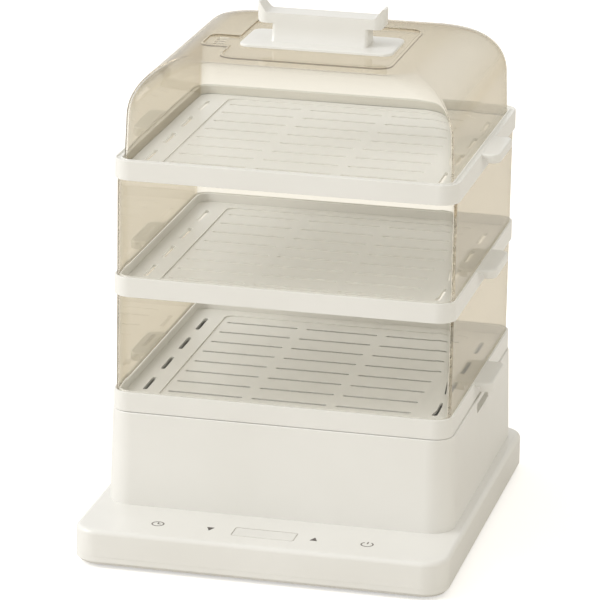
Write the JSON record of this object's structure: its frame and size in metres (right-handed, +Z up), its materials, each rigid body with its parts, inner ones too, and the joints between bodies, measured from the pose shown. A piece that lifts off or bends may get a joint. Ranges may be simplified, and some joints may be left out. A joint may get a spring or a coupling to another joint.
{
  "type": "electric food steamer",
  "caption": "Electric food steamer: flat base with a touch strip, flared water tank, stacked slotted trays in clear walls, and a domed clear lid with a bar grip.",
  "frame": {"origin": "on the surface the feet stand on, under the middle of the base", "axes": "+X to the right, -Y towards the touch strip, +Z up"},
  "size_m": [0.3406, 0.385, 0.471],
  "materials": {
    "white_plastic": "satin",
    "clear_plastic": "clear gloss",
    "inner_plastic": "matt",
    "window": "gloss",
    "board": "matt",
    "dark_plastic": "matt",
    "rubber": "matt",
    "silicone": "matt",
    "cast_plate": "satin",
    "steel": "brushed"
  },
  "bodies": {
    "base": {"rubber_feet": "rubber", "base_cover": "white_plastic", "long_screws": "steel", "base_housing": "white_plastic", "display_window": "window", "touch_board": "board", "display_module": "dark_plastic", "power_board": "board", "power_inlet": "dark_plastic", "tank_housing": "white_plastic", "water_tub": "inner_plastic", "heater_seal": "silicone", "heating_plate": "cast_plate", "heating_element": "steel", "heater_clamp": "steel", "thermostat": "dark_plastic", "thermal_fuse": "steel"},
    "lower_tray": {"tray_1": "white_plastic", "tray_1_ears": "white_plastic"},
    "lower_wall": {"wall_1": "clear_plastic"},
    "middle_tray": {"tray_2": "white_plastic", "tray_2_ears": "white_plastic"},
    "upper_wall": {"wall_2": "clear_plastic"},
    "upper_tray": {"tray_3": "white_plastic", "tray_3_ears": "white_plastic"},
    "lid": {"lid_shell": "clear_plastic", "handle_plate": "white_plastic", "handle_grip": "white_plastic", "handle_screws": "steel"}
  },
  "joints": [
    {"name": "lower_tray_lift", "type": "slide", "parent": "base", "child": "lower_tray", "axis": [0, 0, 1], "range_m": [0, 0.05]},
    {"name": "lower_wall_lift", "type": "slide", "parent": "lower_tray", "child": "lower_wall", "axis": [0, 0, 1], "range_m": [0, 0.05]},
    {"name": "middle_tray_lift", "type": "slide", "parent": "lower_wall", "child": "middle_tray", "axis": [0, 0, 1], "range_m": [0, 0.05]},
    {"name": "upper_wall_lift", "type": "slide", "parent": "middle_tray", "child": "upper_wall", "axis": [0, 0, 1], "range_m": [0, 0.05]},
    {"name": "upper_tray_lift", "type": "slide", "parent": "upper_wall", "child": "upper_tray", "axis": [0, 0, 1], "range_m": [0, 0.05]},
    {"name": "lid_lift", "type": "slide", "parent": "upper_tray", "child": "lid", "axis": [0, 0, 1], "range_m": [0, 0.1]}
  ]
}
